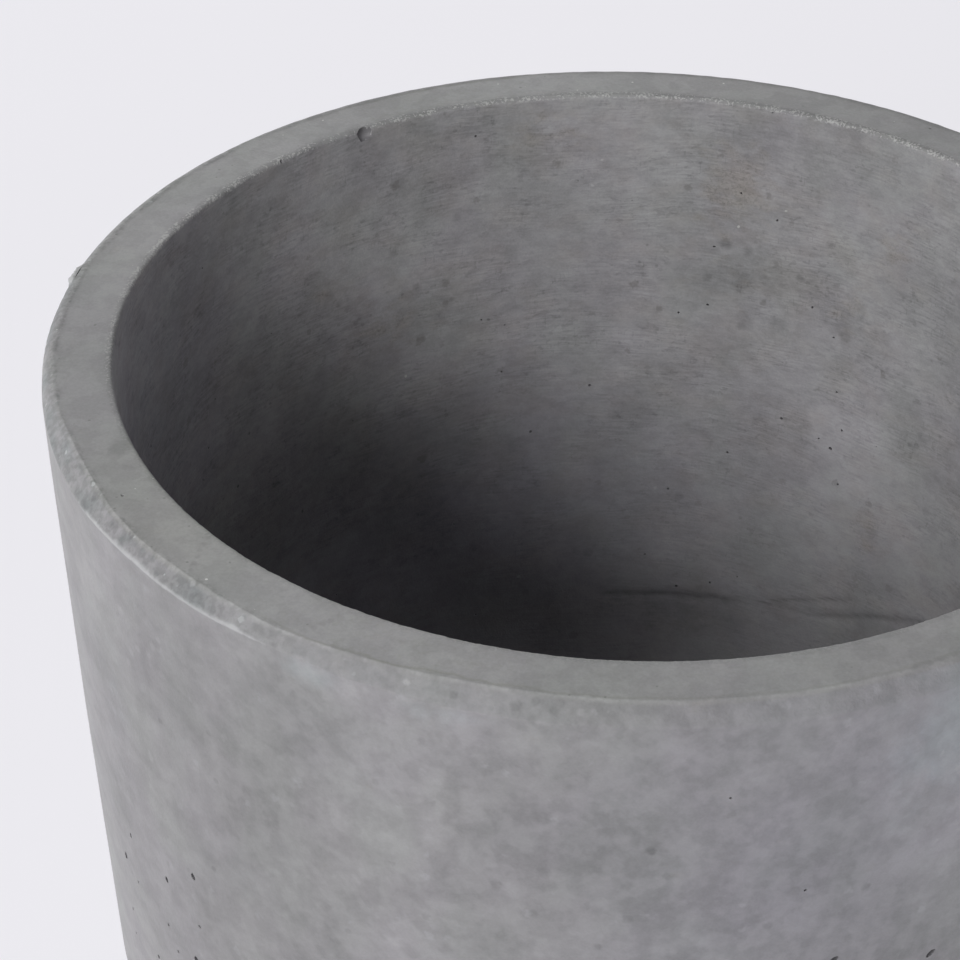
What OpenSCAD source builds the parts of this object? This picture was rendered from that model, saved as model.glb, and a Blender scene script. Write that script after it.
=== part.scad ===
// Round cast-concrete bowl planter: a deep, nearly straight-sided bowl with a flat rim, soft worn
// edges and a rounded bottom. It stands on four stick-on rubber pads, and a rubber stopper closes
// the drain hole in its floor. Millimetres, +Z up, origin on the ground under the bowl's centre.

/* [Bowl] */
// Outside diameter at the rim
rim_d = 350; // [320:5:420]
// Height from the ground to the top of the rim
pot_h = 300; // [260:5:360]
// Thickness of the wall at the rim
wall_t = 21; // [17:0.5:28]
// Thickness of the floor of the bowl
floor_t = 28; // [24:1:40]
// How far the outer wall leans in between the rim and the rounded bottom
wall_lean = 7; // [0:0.5:12]
// How far the inner wall leans in, which lets the mould's core lift out
core_lean = 6.5; // [1:0.5:12]
// How far both walls swell past a straight line at mid-height
wall_bow = 0.45; // [0:0.05:2]
// Radius of the rounded bottom, outside
base_round = 85; // [60:5:90]
// Radius between the wall and the floor, inside
floor_round = 60; // [40:5:80]

/* [Rim] */
// Radius worn on the outer arris of the rim
outer_arris = 4; // [2:0.5:7]
// Radius worn on the inner arris of the rim
inner_arris = 1.2; // [0.6:0.2:4]

/* [Drain] */
// Diameter of the outlet in the underside
outlet_d = 19; // [14:1:22]
// Diameter of the bore that the stopper's stem fits
seat_d = 24; // [24:1:30]
// Diameter of the recess for the stopper's flange
recess_d = 36; // [34:1:44]
// Depth of the recess, which lets the flange sit flush with the floor
recess_t = 4; // [3:0.5:6]
// Depth of the stem's bore below the recess
seat_t = 12; // [8:1:14]
// Height of the stopper's pull knob above the floor
knob_h = 12; // [9:1:18]
// Diameter of the pull knob
knob_d = 16; // [14:1:22]

/* [Feet] */
// Diameter of one pad
foot_d = 22; // [14:1:28]
// Thickness of one pad
foot_t = 3; // [2:0.5:5]
// Gap between a pad and the edge of the flat part of the base
foot_inset = 9; // [4:1:10]

/* [Hidden] */

$fn = 96;
concrete = "#8d8d8f";
rubber = "#26272a";

rim_r = rim_d / 2;
base_z = foot_t;                    // underside of the casting
floor_z = base_z + floor_t;         // floor inside the bowl
wall_steps = 8;
round_steps = 14;
arris_steps = 5;
arris_start = 15;                   // a worn arris leaves its wall at this angle

recess_z = floor_z - recess_t;      // bottom of the flange's recess
seat_z = recess_z - seat_t;         // ledge under the stem, above the outlet
overcut = 1;                        // how far each cut runs past the surface it opens

stem_gap = 0.05;                    // running clearance round the stem
flange_gap = 0.3;                   // clearance round the flange
stem_end_gap = 0.4;                 // the flange seats first, so the stem stops short
stem_lead = 1.5;                    // chamfer that starts the stem into its bore
neck_d = 9;                         // waist under the knob, for fingertips
knob_cap_t = 5;                     // thickness of the knob above its waist
knob_edge = 2;                      // radius of the knob's edge
flange_edge = 1;                    // radius of the flange's edge
foot_edge = 0.6;                    // chamfer round the foot's lower edge
foot_count = 4;
foot_turn = 45;                     // angle of the first pad

// Points along an arc about [x, z], from angle a0 to angle a1
function arc(x, z, r, a0, a1, n) =
    [for (i = [0:n]) let (a = a0 + (a1 - a0) * i / n) [x + r * cos(a), z + r * sin(a)]];

// Slope of a bowed wall where it meets its round, in degrees from upright
function wall_tilt(lean, bottom, round_r) =
    atan((lean + 4 * wall_bow) / (pot_h - bottom - round_r));

// A bowed wall from its round (t = 1) up to just under the rim (t = t_top)
function wall(r_top, lean, z_low, t_top) =
    [for (i = [1:wall_steps])
        let (t = 1 - (1 - t_top) * i / wall_steps)
        [r_top - lean * t + 4 * wall_bow * t * (1 - t), pot_h - (pot_h - z_low) * t]];

outer_tilt = wall_tilt(wall_lean, base_z, base_round);
outer_low_z = base_z + base_round * (1 - sin(outer_tilt));
outer_round_x = rim_r - wall_lean - base_round * cos(outer_tilt);

inner_r = rim_r - wall_t;
inner_tilt = wall_tilt(core_lean, floor_z, floor_round);
inner_low_z = floor_z + floor_round * (1 - sin(inner_tilt));
inner_round_x = inner_r - core_lean - floor_round * cos(inner_tilt);

foot_reach = outer_round_x - foot_d / 2 - foot_inset;

// Section of the casting: base, rounded bottom, outer wall, rim, inner wall, floor
section = concat(
    [[0, base_z]],
    arc(outer_round_x, base_z + base_round, base_round, -90, -outer_tilt, round_steps),
    wall(rim_r, wall_lean, outer_low_z, outer_arris / (pot_h - outer_low_z)),
    arc(rim_r - outer_arris, pot_h - outer_arris, outer_arris, arris_start, 90, arris_steps),
    arc(inner_r + inner_arris, pot_h - inner_arris, inner_arris, 90, 180 - arris_start, arris_steps),
    reverse(wall(inner_r, core_lean, inner_low_z, inner_arris / (pot_h - inner_low_z))),
    reverse(arc(inner_round_x, floor_z + floor_round, floor_round, -90, -inner_tilt, round_steps)),
    [[0, floor_z]]
);

function reverse(points) = [for (i = [len(points) - 1:-1:0]) points[i]];

// One casting, with a stepped drain hole through its floor
module planter_shell() {
    color(concrete)
    difference() {
        rotate_extrude() polygon(section);
        translate([0, 0, recess_z]) cylinder(d = recess_d, h = recess_t + overcut);
        translate([0, 0, seat_z]) cylinder(d = seat_d, h = seat_t + overcut);
        translate([0, 0, base_z - overcut]) cylinder(d = outlet_d, h = seat_z - base_z + 2 * overcut);
    }
}

// Turned shape of the moulded stopper: stem, flange, waist and pull knob, from the bottom up
module drain_plug() {
    flange_r = recess_d / 2 - flange_gap;
    stem_r = seat_d / 2 - stem_gap;
    stem_z = seat_z + stem_end_gap;
    top_z = floor_z + knob_h;
    neck_r = neck_d / 2;
    knob_r = knob_d / 2;
    color(rubber)
    rotate_extrude()
    polygon(concat(
        [[0, stem_z], [stem_r - stem_lead, stem_z], [stem_r, stem_z + stem_lead]],
        [[stem_r, recess_z], [flange_r, recess_z]],
        arc(flange_r - flange_edge, floor_z - flange_edge, flange_edge, 0, 90, arris_steps),
        [[neck_r, floor_z], [neck_r, top_z - knob_cap_t]],
        arc(knob_r - knob_edge, top_z - knob_cap_t + knob_edge, knob_edge, -90, 0, arris_steps),
        arc(knob_r - knob_edge, top_z - knob_edge, knob_edge, 0, 90, arris_steps),
        [[0, top_z]]
    ));
}

// Stick-on pad under the base
module foot_pad(i) {
    color(rubber)
    rotate([0, 0, foot_turn + 360 * i / foot_count])
    translate([foot_reach, 0, 0]) {
        cylinder(d1 = foot_d - 2 * foot_edge, d2 = foot_d, h = foot_edge);
        translate([0, 0, foot_edge]) cylinder(d = foot_d, h = foot_t - foot_edge);
    }
}

planter_shell();
drain_plug();
foot_pad(0);  // foot_pad_1
foot_pad(1);  // foot_pad_2
foot_pad(2);  // foot_pad_3
foot_pad(3);  // foot_pad_4
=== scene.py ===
import math
import random

import bmesh
import bpy
from mathutils import Matrix, Vector, noise
from mathutils.bvhtree import BVHTree


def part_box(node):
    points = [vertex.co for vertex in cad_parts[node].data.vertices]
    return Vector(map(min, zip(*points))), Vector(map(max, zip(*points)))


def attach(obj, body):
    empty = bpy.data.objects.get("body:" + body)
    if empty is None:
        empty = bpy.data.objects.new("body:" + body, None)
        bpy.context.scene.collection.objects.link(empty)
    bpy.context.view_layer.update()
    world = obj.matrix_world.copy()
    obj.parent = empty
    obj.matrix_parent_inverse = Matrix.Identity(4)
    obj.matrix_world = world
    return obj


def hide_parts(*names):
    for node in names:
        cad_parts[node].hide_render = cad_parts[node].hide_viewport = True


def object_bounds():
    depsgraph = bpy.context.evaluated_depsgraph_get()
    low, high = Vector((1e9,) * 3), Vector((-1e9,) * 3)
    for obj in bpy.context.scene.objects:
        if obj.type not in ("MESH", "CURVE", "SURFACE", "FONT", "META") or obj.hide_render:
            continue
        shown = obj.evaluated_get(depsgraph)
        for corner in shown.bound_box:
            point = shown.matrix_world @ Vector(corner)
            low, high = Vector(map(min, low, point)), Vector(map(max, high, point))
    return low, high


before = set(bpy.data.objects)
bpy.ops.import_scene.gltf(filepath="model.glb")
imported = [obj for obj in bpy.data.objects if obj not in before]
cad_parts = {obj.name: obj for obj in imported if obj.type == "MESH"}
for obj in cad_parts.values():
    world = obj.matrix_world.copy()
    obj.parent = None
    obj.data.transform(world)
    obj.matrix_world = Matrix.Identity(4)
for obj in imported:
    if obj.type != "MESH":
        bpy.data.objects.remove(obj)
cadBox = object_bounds()
print("frame loaded:", ", ".join(sorted(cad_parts)))

mm = 0.001

# The casting, the same sizes as its CAD node
castShell = {
    "rimRadius": 175 * mm,
    "height": 300 * mm,
    "underside": 3 * mm,
    "wall": 21 * mm,
    "floor": 28 * mm,
    "outerLean": 7 * mm,
    "innerLean": 6.5 * mm,
    "bow": 0.45 * mm,
    "baseRound": 85 * mm,
    "floorRound": 60 * mm,
    "outerArris": 4 * mm,
    "innerArris": 1.2 * mm,
    "outletRadius": 9.5 * mm,
    "seatRadius": 12 * mm,
    "recessRadius": 18 * mm,
    "recessDepth": 4 * mm,
    "seatDepth": 12 * mm,
    "chip": 0.5 * mm,        # small breaks of the edges of the drain hole
    "turns": 240,            # steps round the walls
    "rimCuts": 4,            # extra cuts of each step at the rim, for its worn edges
    "wallRow": 6 * mm,       # height of a row of faces on the walls
    "fineRow": 0.56 * mm,    # and of a row next to the rim
    "outerBand": 9 * mm,     # how far down the fine rows reach outside
    "innerBand": 2.8 * mm,   # and inside
    "outerFlat": 4.5 * mm,   # width of the fine rows on the rim's flat beside its outer edge
    "innerFlat": 1.5 * mm,   # and beside its inner edge
    "foldRows": 7,           # extra rows of each face where the far wall has its folds
    "sharpAngle": 50,        # degrees
}

# Where one side of the casting ends and the next begins. The line between inside and outside runs up the
# middle of the wall and slopes in through the thick lower corner
division = {
    "wall": 163 * mm,
    "cornerRadius": 125 * mm,
    "cornerHeight": 31 * mm,
    "cornerSlope": 0.9,
    "lowest": 10 * mm,
    "flat": 0.9 * mm,        # how far the rim's flat reaches down
    "rimOutside": 165 * mm,  # the rim outside this radius has the outer worn edge
    "folds": (30, 92),       # degrees round, the part of the far wall that has folds
}

# What the hand and the mould left on the surface, as real relief
relief = {
    "wallWave": 0.26 * mm,   # slow waviness of the walls
    "wallWaveSize": 70 * mm,
    "wallWaveFrom": 25 * mm, # below the top, where it is at its full height
    "rimWave": 0.09 * mm,    # the rim was struck off by hand
    "rimWaveSize": 26 * mm,
    "rimWaveTo": 14 * mm,    # how far down it reaches
    "arrisLump": 0.11 * mm,  # sand torn out of and left in the rubbed outer arris
    "arrisLumpSize": 3.6 * mm,
    "innerGrain": 0.13 * mm,
    "innerGrainSize": 1.3 * mm,
    "footWander": 0.8 * mm,  # how unevenly the foot of the arris runs
    "footWanderSize": 16 * mm,
    "chamfer": 0.8,          # how far the arris is rubbed flat rather than round, on the near side
    "lip": 0.18 * mm,        # crisp ridge left along the foot of the arris where it was rubbed least
    "lipFrom": -157,         # degrees round the rim, from +X
    "lipTo": -121,
    "lipWidth": 0.9 * mm,
    "burrAt": 168,           # a flake of the outer arris that has lifted
    "burrSpan": 4.4,         # degrees
    "burr": 1.3 * mm,
    "burrRadius": 173.4 * mm,           # outside which the flake is chalky,
    "burrDepth": 4 * mm,                # and above which
    "rubbedIn": (161 * mm, 171 * mm),   # radii between which the rubbing comes in
    "rubbedStart": (-176, -158),        # degrees round, where it turns from round to flat
    "rubbedEnd": (-72, -50),            # and back
}

# Where the foot of the rubbed arris runs: degrees round the rim, millimetres below the top
arrisFoot = [
    (-200, 4.3), (-170, 4.6), (-156, 5.6), (-152, 5.3), (-148, 4.6), (-142, 4.3), (-137, 4.6), (-131, 4.4),
    (-125, 3.6), (-116, 4.6), (-106, 5.4), (-100, 5.4), (-93, 5.2), (-87, 5.2), (-75, 5.4), (-66, 5.6),
    (-40, 4.4), (0, 4.2), (60, 4.0), (110, 4.2), (160, 4.3),
]

# Folds left on the far wall by the liner of the core: start and end in degrees and mm below the rim, depth and
# half width in mm, and how dark they are: painted shade in and below the crease, with some dirt
folds = [
    {"from": (67, 207.8), "to": (49, 188), "deep": 0.42, "half": 1.1, "dirtAndShade": 0.9},
    {"from": (59, 206.5), "to": (34, 177.5), "deep": 0.38, "half": 2.2, "dirtAndShade": 0.9},
    {"from": (90, 212), "to": (67, 207.4), "deep": 0.3, "half": 2.4, "dirtAndShade": 0.8},
]

# Air holes that the photograph shows, by side: degrees round, mm below the rim, width and height in mm,
# tilt in degrees
seenHoles = {
    "outside": [
        (-62.7, 104.6, 3.9, 1.9, 42), (-73.1, 95.2, 3.6, 1.8, 30), (-84.0, 29.5, 0.8, 0.8, 0),
        (-76.6, 66, 0.9, 1.0, 0), (-150.8, 125.5, 1.5, 2.0, 90), (-153.6, 141.0, 2.2, 3.4, 80),
        (-143.0, 124.9, 1.9, 2.4, 100), (-137.8, 112.1, 2.0, 2.6, 100), (-150.6, 144.5, 1.1, 1.2, 0),
        (-154.0, 164.8, 1.1, 1.3, 0), (-143.9, 145.8, 1.2, 1.5, 0), (-137.7, 132.2, 1.4, 1.1, 0),
        (-142.5, 153.9, 1.2, 1.1, 0), (-147.6, 169.0, 1.5, 1.9, 80), (-139.0, 149.5, 2.6, 4.0, 105),
        (-154.3, 176.2, 1.0, 1.1, 0),
    ],
    "inside": [
        (79.9, 85.2, 1.0, 1.0, 0), (76.0, 80.6, 1.1, 1.0, 0), (61.5, 73.3, 1.0, 1.1, 0),
        (91.8, 117.7, 1.2, 1.2, 0), (56.8, 104.6, 1.0, 0.9, 0), (64.4, 122.2, 1.2, 1.1, 0),
        (55.4, 119.5, 1.1, 1.1, 0), (56.8, 128.6, 1.6, 1.5, 0), (58.7, 126.1, 0.9, 0.9, 0),
        (55.1, 142.7, 1.0, 1.2, 0), (71.8, 142.0, 1.0, 1.0, 0), (72.5, 34.2, 0.9, 0.9, 0),
        (67.4, 42.3, 0.9, 1.0, 0), (75.6, 56.7, 1.1, 0.9, 0), (78.0, 206.0, 1.4, 1.2, 0),
        (73.0, 202.0, 1.1, 1.0, 0),
    ],
}
rimHoles = [
    # where the rim itself is broken: degrees, radius and height in mm, then the three widths in mm
    {"at": 123.2, "radius": 153.4, "z": 298.6, "along": 6.2, "across": 5.0, "deep": 7.0},
    {"at": 136.0, "radius": 154.2, "z": 299.5, "along": 1.6, "across": 1.4, "deep": 1.6},
    {"at": 50.6, "radius": 168.0, "z": 299.9, "along": 1.6, "across": 0.8, "deep": 1.0},
    {"at": 168.2, "radius": 173.1, "z": 299.5, "along": 6.0, "across": 0.3, "deep": 1.6},
    {"at": -149.6, "radius": 165.5, "z": 300.0, "along": 1.3, "across": 1.0, "deep": 0.9},
]

# Air holes all round, where the photograph doesn't show the wall. Widths in mm, none so near the rim
scatteredHoles = {
    "seed": 29,
    "outside": {"count": 180, "widths": (0.9, 3.6), "nearest": 92, "common": 165, "farthest": 292},
    "inside": {"count": 60, "widths": (0.8, 1.8), "nearest": 20, "common": 60, "farthest": 238},
    "spacing": 2.2,          # least gap between two holes
    "uneven": 0.26,          # how far a hole is from a smooth oval
    "deep": 0.85,            # half depth of a hole, as a share of its smaller width
    "sunk": 0.35,            # how far its middle lies under the surface, as a share of that
    "off": 0.2 * mm,         # a face farther than this from the plain surface is inside a hole
}

# The part of the walls that the photograph shows: degrees round and mm below the rim. Outside, it reaches
# farther down at the sides than in the middle
seenWalls = {
    "inside": {"first": 10, "last": 165, "below": 245},
    "outside": {"middle": -105, "half": 62, "lowest": -90, "below": 88, "curve": 0.032},
}

# Soft patches on the walls and the rim: side, degrees, mm below the top, width and height in mm, strength
patches = {
    # brown, rough damp marks
    "stain": [
        ("inside", 73.5, 32, 30, 34, 0.8), ("inside", 51, 41, 20, 26, 0.5), ("inside", 98, 13, 44, 22, 0.4),
        ("inside", 56, 70, 22, 24, 0.45), ("inside", 71.6, 70, 24, 22, 0.4), ("inside", 49, 156, 22, 20, 0.5),
        ("inside", 120, 80, 40, 22, 0.5), ("inside", 130, 58, 22, 14, 0.4),
    ],
    # pale blooms of lime, and a painted highlight: the soft sheen just under the rim at the front right
    "bloom": [
        ("outside", -64, 20, 40, 44, 1.0), ("outside", -120, 8, 24, 10, 0.8), ("outside", -108, 8, 30, 6, 0.6),
        ("outside", -150, 60, 26, 90, 0.4),
    ],
    # where the cement has a bluish cast outside, and painted shade inside: the blue of the shadow on the left
    "coolCastAndShadeBlue": [
        ("outside", -74, 60, 130, 150, 0.7), ("inside", 112, 180, 190, 110, 1.0),
        ("inside", 172, 60, 120, 120, 0.8),
    ],
    # and where the rim has an olive one
    "olive": [("top", -145, 0, 70, 20, 1.0)],
    # light and dark, as a change of the tone: mostly painted light and shade that evens out how the lamps light
    # the walls and the rim, with a deepened shadow edge low inside and a painted sheen at the front right; some
    # of it is uneven tone of the cement
    "paintedShadingAndTone": [
        ("outside", -96, 60, 60, 50, -0.08), ("outside", -135, 24, 50, 40, -0.05),
        ("outside", -127, 62, 70, 100, -0.05), ("outside", -66, 45, 34, 60, 0.09),
        ("outside", -116, 9, 26, 12, 0.15), ("top", -146, 0, 70, 20, -0.04),
        ("outside", -131, 14, 40, 30, -0.08), ("top", -90, 0, 60, 20, 0.04), ("inside", 51, 62, 40, 44, 0.09),
        ("inside", 52, 205, 40, 30, 0.09), ("inside", 66, 45, 80, 60, 0.09), ("inside", 102, 18, 110, 24, 0.05),
        ("inside", 98, 14, 40, 20, -0.04), ("outside", -100, 38, 70, 30, -0.08),
        ("outside", -90, 58, 24, 20, 0.07), ("outside", -157, 50, 24, 100, 0.06),
        ("inside", 50, 160, 80, 80, 0.22), ("inside", 68, 22, 100, 44, 0.13), ("inside", 96, 28, 90, 80, 0.08),
        ("inside", 80, 160, 50, 70, 0.1), ("inside", 78, 215, 60, 30, -0.27), ("inside", 88, 60, 90, 120, 0.05),
        ("top", 45, 0, 150, 20, -0.12), ("top", -168, 0, 60, 20, -0.1), ("top", 118, 0, 60, 20, -0.05),
    ],
}

# Single soft spots and flecks, as seen, by side: degrees, mm below the rim, radius in mm, change of the tone
seenSpots = {
    "inside": [
        (40.6, 136.4, 1.5, -0.1), (43.7, 151.7, 0.6, -0.17), (46.0, 13.5, 1.0, -0.12),
        (46.3, 132.3, 1.5, -0.09), (48.9, 157.8, 2.1, -0.08), (50.4, 107.2, 0.5, -0.16),
        (52.1, 34.5, 0.7, -0.15), (69.2, 169.7, 0.6, -0.16), (70.5, 209.1, 1.6, -0.09), (74.1, 55.0, 1.8, -0.2),
        (78.5, 165.0, 1.6, -0.12), (81.9, 162.0, 0.6, 0.16), (83.2, 66.7, 0.5, -0.2), (84.6, 58.4, 0.5, -0.17),
        (85.5, 65.4, 0.5, -0.26), (91.0, 24.9, 0.5, 0.3), (92.1, 35.1, 0.5, 0.3), (91.4, 192.8, 1.6, -0.11),
        (101.8, 201.8, 0.6, 0.21), (106.1, 86.2, 0.5, -0.25), (110.5, 42.5, 1.5, -0.12),
        (112.8, 54.8, 0.7, -0.17), (112.9, 93.1, 0.8, -0.13), (116.0, 88.0, 1.5, -0.12),
        (116.5, 66.6, 1.1, -0.15), (118.5, 68.4, 0.5, -0.2), (119.5, 50.3, 1.5, -0.14),
        (129.8, 59.9, 2.0, -0.11), (131.0, 82.6, 0.7, -0.17), (136.5, 140.8, 0.5, -0.38),
        (138.4, 15.6, 0.7, -0.17), (141.0, 89.2, 0.5, -0.27), (148.6, 112.3, 0.5, -0.44),
        # pinholes in the shadow, their dark painted shade inside them
        (156.3, 97.1, 0.5, -0.3), (152.1, 112.3, 0.5, -0.25), (145.4, 95.2, 0.5, -0.3),
        (163.5, 68.3, 0.5, -0.2), (150.1, 123.9, 0.5, -0.2),
        # damp blots on the far wall
        (71.2, 69.0, 3.6, -0.06), (57.0, 77.9, 2.6, -0.09), (66.0, 84.1, 3.0, -0.16), (71.1, 84.7, 3.0, -0.1),
        (55.1, 69.2, 3.4, -0.07), (49.8, 46.5, 7.0, -0.06), (53.9, 24.0, 3.5, -0.04), (71.0, 56.7, 1.7, -0.14),
        (71.2, 87.2, 1.5, -0.1), (85.3, 69.1, 1.8, -0.09), (76.3, 69.3, 1.5, -0.17), (63.6, 63.1, 1.4, -0.17),
        (68.5, 67.1, 1.8, -0.1), (59.8, 46.7, 1.5, -0.16), (56.4, 81.4, 2.0, -0.16),
    ],
    "outside": [
        (-140.5, 57.9, 0.9, -0.12), (-134.3, 101.6, 0.9, -0.12), (-132.9, 47.8, 1.0, -0.1),
        (-132.6, 64.8, 0.9, -0.12), (-118.0, 97.2, 0.9, -0.12), (-114.4, 37.3, 1.0, -0.1),
        (-121.0, 23.3, 2.2, 0.08), (-113.3, 94.8, 1.8, 0.08), (-107.2, 83.3, 2.2, 0.08),
        (-104.1, 56.7, 1.6, 0.07), (-103.6, 64.3, 1.6, -0.1), (-102.6, 64.4, 2.2, 0.09),
        (-100.3, 73.0, 1.2, -0.1), (-99.7, 37.7, 2.2, -0.09), (-99.5, 57.5, 1.6, -0.1),
        (-94.6, 83.0, 1.1, -0.12), (-92.1, 72.1, 1.2, -0.14), (-90.4, 47.3, 1.2, -0.17),
        (-88.9, 56.2, 1.1, -0.1), (-79.7, 77.3, 1.2, -0.13), (-70.8, 69.6, 1.2, -0.18),
        (-144.4, 40.8, 1.1, 0.1), (-143.0, 36.7, 1.2, 0.12), (-140.2, 30.5, 1.2, 0.12),
        (-139.1, 26.2, 1.0, 0.1), (-141.1, 35.4, 1.0, 0.1), (-145.3, 46.2, 1.1, 0.1), (-143.1, 77.1, 1.2, 0.13),
        (-143.3, 75.2, 0.9, 0.1), (-145.6, 28.4, 1.6, 0.08), (-100.6, 5.2, 1.2, -0.08),
    ],
    "top": [
        # two smeared lines, with the radius in mm for the second value
        (-135.9, 168.6, 0.8, -0.1), (-136.5, 166.2, 0.8, -0.12), (-137.1, 163.8, 0.7, -0.11),
        (-137.7, 161.4, 0.7, -0.1), (-138.3, 159.0, 0.7, -0.1), (-138.8, 156.6, 0.7, -0.08),
        (-122.2, 168.8, 0.9, -0.08), (-121.8, 166.4, 0.9, -0.09), (-121.4, 164.0, 0.8, -0.08),
        (-121.0, 161.6, 0.8, -0.08), (-120.6, 159.2, 0.8, -0.07), (-120.2, 156.8, 0.7, -0.06),
        # and two dark blots
        (-157.4, 158.2, 3.0, -0.1), (-154.0, 157.6, 2.4, -0.08),
    ],
    "arris": [
        # torn and left sand on the rubbed arris
        (-111.6, 2.5, 0.8, 0.25), (-96.7, 2.8, 0.9, 0.12), (-107.4, 2.8, 1.0, -0.12), (-102.1, 2.7, 1.3, -0.1),
        (-98.9, 3.1, 1.1, -0.1), (-114.2, 2.6, 1.5, -0.08), (-100.5, 1.6, 1.0, -0.12),
        (-152.8, 0.3, 1.2, -0.14), (-151.3, 1.4, 1.3, -0.14), (-146.5, 1.8, 1.2, -0.16),
        (-145.9, 1.0, 1.1, -0.14), (-143.9, 1.1, 1.2, -0.14), (-142.2, 1.0, 1.0, 0.1), (-137.6, 0.7, 1.1, 0.1),
        (-134.5, 1.2, 0.8, 0.28), (-148.6, 1.9, 1.2, 0.1), (-159.6, 1.0, 1.4, 0.14),
    ],
}


def smoothStep(low, high, value):
    t = min(1, max(0, (value - low) / (high - low)))
    return t * t * (3 - 2 * t)


def layered(place, size, octaves=3):
    # Soft noise with a few finer layers, about -1 to 1
    return noise.fractal(place / size, 1.0, 2.0, octaves)


def arc(centreX, centreZ, radius, startAngle, endAngle, steps):
    points = []
    for i in range(steps + 1):
        angle = math.radians(startAngle + (endAngle - startAngle) * i / steps)
        points.append((centreX + radius * math.cos(angle), centreZ + radius * math.sin(angle)))
    return points


def evenly(start, end, steps, z):
    # Points on a level line, without its two ends
    return [(start + (end - start) * i / steps, z) for i in range(1, steps)]


def wallLine(side):
    # One wall's radius at the top, its lean, its tilt at the foot in degrees, and the height of the foot,
    # where it runs into the rounded corner
    c = castShell
    radius, lean, corner, bottom = c["rimRadius"], c["outerLean"], c["baseRound"], c["underside"]
    if side == "inside":
        radius, lean, corner, bottom = radius - c["wall"], c["innerLean"], c["floorRound"], bottom + c["floor"]
    tilt = math.degrees(math.atan((lean + 4 * c["bow"]) / (c["height"] - bottom - corner)))
    return radius, lean, tilt, bottom + corner * (1 - math.sin(math.radians(tilt)))


def wallRadius(side, z):
    # The walls lean in and are slightly bowed
    radius, lean, tilt, foot = wallLine(side)
    t = (castShell["height"] - z) / (castShell["height"] - foot)
    return radius - lean * t + 4 * castShell["bow"] * t * (1 - t)


def castWall(side, startZ, endZ, row):
    # Points up a wall, from just over startZ to endZ
    count = max(1, round((endZ - startZ) / row))
    heights = [startZ + (endZ - startZ) * i / count for i in range(1, count + 1)]
    return [(wallRadius(side, z), z) for z in heights]


def castSection():
    # Closed section of the casting, from the outlet's lower edge round the outside, rim and inside
    c = castShell
    top, low = c["height"], c["underside"]
    floorZ = low + c["floor"]
    outerR, outerLean, outerTilt, outerLow = wallLine("outside")
    innerR, innerLean, innerTilt, innerLow = wallLine("inside")
    outerX = outerR - outerLean - c["baseRound"] * math.cos(math.radians(outerTilt))
    innerX = innerR - innerLean - c["floorRound"] * math.cos(math.radians(innerTilt))
    a, b = c["outerArris"], c["innerArris"]
    chip = c["chip"]
    nearEdge = outerR - a - c["outerFlat"]
    farEdge = innerR + b + c["innerFlat"]

    section = [(c["outletRadius"] + chip, low)] + evenly(c["outletRadius"] + chip, outerX, 6, low)
    section += arc(outerX, low + c["baseRound"], c["baseRound"], -90, -outerTilt, 17)
    section += castWall("outside", outerLow, top - c["outerBand"], c["wallRow"])
    section += castWall("outside", top - c["outerBand"], top - a, c["fineRow"])
    section += arc(outerR - a, top - a, a, 15, 90, 12)
    section += evenly(outerR - a, nearEdge, 6, top) + [(nearEdge, top)]
    section += evenly(nearEdge, farEdge, 5, top) + [(farEdge, top)]
    section += evenly(farEdge, innerR + b, 2, top)
    section += arc(innerR + b, top - b, b, 90, 165, 5)

    inside = arc(innerX, floorZ + c["floorRound"], c["floorRound"], -90, -innerTilt, 14)
    inside += castWall("inside", innerLow, top - c["innerBand"], c["wallRow"])
    inside += castWall("inside", top - c["innerBand"], top - b, c["fineRow"])[:-1]
    section += reversed(inside)
    recessR, seatR, outletR = c["recessRadius"], c["seatRadius"], c["outletRadius"]
    recessZ = floorZ - c["recessDepth"]
    seatZ = recessZ - c["seatDepth"]
    section += evenly(innerX, recessR + chip, 7, floorZ) + [(recessR + chip, floorZ)]
    section += [(recessR, floorZ - chip), (recessR, recessZ), (seatR + chip, recessZ)]
    section += [(seatR, recessZ - chip), (seatR, seatZ), (outletR, seatZ), (outletR, low + chip)]
    return section


def whereIs(point):
    # Radius, degrees round from +X, and how far below the top
    azimuth = math.degrees(math.atan2(point.y, point.x))
    return math.hypot(point.x, point.y), azimuth, castShell["height"] - point.z


def turnBetween(azimuth, other):
    # Degrees from one place round the rim to another, the short way
    return abs((azimuth - other + 180) % 360 - 180)


def isInside(radius, z):
    d = division
    corner = d["cornerRadius"] + (z - d["cornerHeight"]) * d["cornerSlope"]
    return radius < min(d["wall"], corner) and z > d["lowest"]


def isFolded(radius, azimuth, z):
    first, last = division["folds"]
    return isInside(radius, z) and first < azimuth < last


def footBelow(azimuth):
    # How far below the top the rubbed arris ends
    if azimuth > arrisFoot[-1][0]:
        azimuth -= 360
    for (a0, d0), (a1, d1) in zip(arrisFoot, arrisFoot[1:]):
        if a0 <= azimuth <= a1:
            return (d0 + (d1 - d0) * smoothStep(a0, a1, azimuth)) * mm
    return arrisFoot[0][1] * mm


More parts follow.
